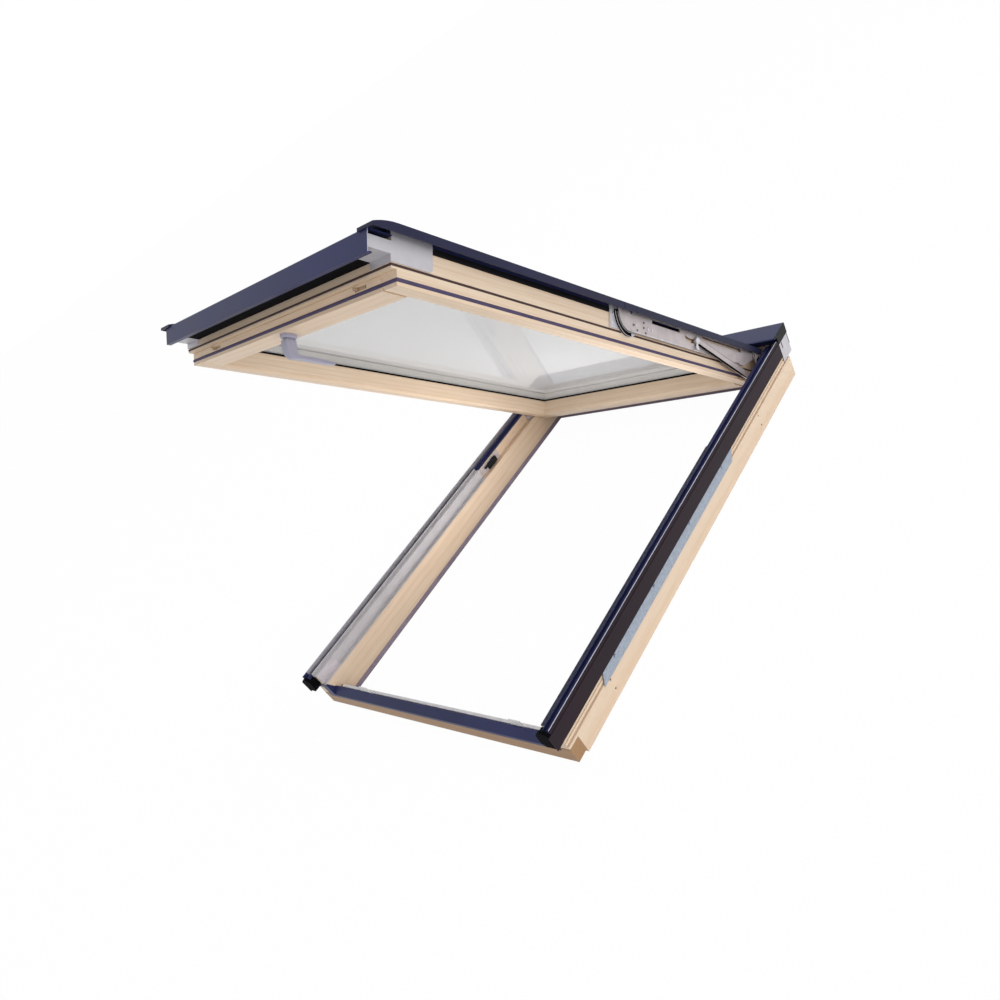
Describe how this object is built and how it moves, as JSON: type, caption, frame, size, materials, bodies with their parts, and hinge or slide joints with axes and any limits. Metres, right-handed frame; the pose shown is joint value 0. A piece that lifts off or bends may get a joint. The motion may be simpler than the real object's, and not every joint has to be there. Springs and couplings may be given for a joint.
{
  "type": "roof window",
  "caption": "Top-hung and pivoting roof skylight: pine frame and glazed sash, metal covers, lift arms with slotted struts, pivot hinges, lever handle and latch bar.",
  "frame": {"origin": "middle of the sill's outer lower edge on the frame's back plane", "axes": "+X across the window to the right seen from outside, +Y up the slope, +Z out of the roof"},
  "size_m": [0.787, 1.221, 0.8986],
  "materials": {
    "pine": "clear satin lacquer on pine",
    "cover_paint": "satin dark blue-grey powder coat",
    "skirt_film": "dull brown-black film",
    "black_plastic": "matte black moulding",
    "pale_metal": "pale grey satin coat",
    "galvanised": "galvanised sheet",
    "steel": "zinc-plated pressed steel",
    "bright_steel": "bright zinc",
    "seal_rubber": "dull violet-black rubber",
    "lining_plastic": "dull mauve-grey profile",
    "glass": "clear sealed glass unit",
    "handle_metal": "satin silver"
  },
  "bodies": {
    "frame": {"left_jamb": "pine", "right_jamb": "pine", "sill": "pine", "head_rail": "pine", "sill_cover": "cover_paint", "left_jamb_cover": "cover_paint", "right_jamb_cover": "cover_paint", "cover_skirts": "skirt_film", "head_hood": "cover_paint", "hood_ends": "black_plastic", "cover_end_caps": "black_plastic", "rebate_plates": "pale_metal", "side_strips": "galvanised", "strip_screws": "galvanised", "head_corner_plates": "pale_metal", "frame_seal": "seal_rubber", "lining_profile": "lining_plastic", "hinge_brackets": "steel", "hinge_pins": "bright_steel", "strut_brackets": "steel", "strut_foot_pins": "bright_steel", "latch_keeps": "steel", "selector_track": "galvanised"},
    "lift": {"left_arm": "steel", "right_arm": "steel", "left_upper_cover": "cover_paint", "right_upper_cover": "cover_paint", "arm_rivets": "bright_steel", "catch_pin": "bright_steel"},
    "struts": {"left_strut": "steel", "right_strut": "steel", "slot_pins": "bright_steel"},
    "sash": {"left_stile": "pine", "right_stile": "pine", "top_rail": "pine", "bottom_rail": "pine", "inner_pane": "glass", "outer_pane": "glass", "glass_spacer": "black_plastic", "inner_gasket": "seal_rubber", "outer_gasket": "seal_rubber", "glazing_cap": "cover_paint", "inner_seal": "seal_rubber", "middle_seal": "seal_rubber", "bottom_cover": "cover_paint", "nose_liner": "black_plastic", "left_lower_cover": "cover_paint", "right_lower_cover": "cover_paint", "corner_brackets": "pale_metal", "pivot_plates": "pale_metal", "pivot_pins": "bright_steel", "pivot_guides": "black_plastic", "plate_screws": "steel", "latch_gearbox": "steel", "handle_rose": "handle_metal"},
    "handle": {"handle_lever": "handle_metal", "spindle": "steel"},
    "latch": {"latch_bar": "steel"},
    "selector": {"selector_slide": "black_plastic"}
  },
  "joints": [
    {"name": "top_hung", "type": "hinge", "parent": "frame", "child": "lift", "pos_m": [0, 1.105, 0.112], "axis": [-1, 0, 0], "range_deg": [-43, 2]},
    {"name": "sash_pivot", "type": "hinge", "parent": "lift", "child": "sash", "pos_m": [0, 0.73337, 0.46128], "axis": [-1, 0, 0], "range_deg": [0, 155]},
    {"name": "strut_swing", "type": "hinge", "parent": "frame", "child": "struts", "pos_m": [0, 1.048, 0.082], "axis": [-1, 0, 0], "range_deg": [-51, 3]},
    {"name": "handle_turn", "type": "hinge", "parent": "sash", "child": "handle", "pos_m": [0, 0.27457, 0.77426], "axis": [0, 0.682, 0.7314], "range_deg": [0, 90]},
    {"name": "latch_slide", "type": "slide", "parent": "sash", "child": "latch", "axis": [1, 0, 0], "range_m": [0, 0.0181]},
    {"name": "mode_select", "type": "slide", "parent": "frame", "child": "selector", "axis": [0, -1, 0], "range_m": [0, 0.018]}
  ],
  "couplings": [
    {"joint": "strut_swing", "follows": "top_hung", "ratio": 1.16},
    {"joint": "latch_slide", "follows": "handle_turn", "m_per_rad": 0.011459}
  ]
}
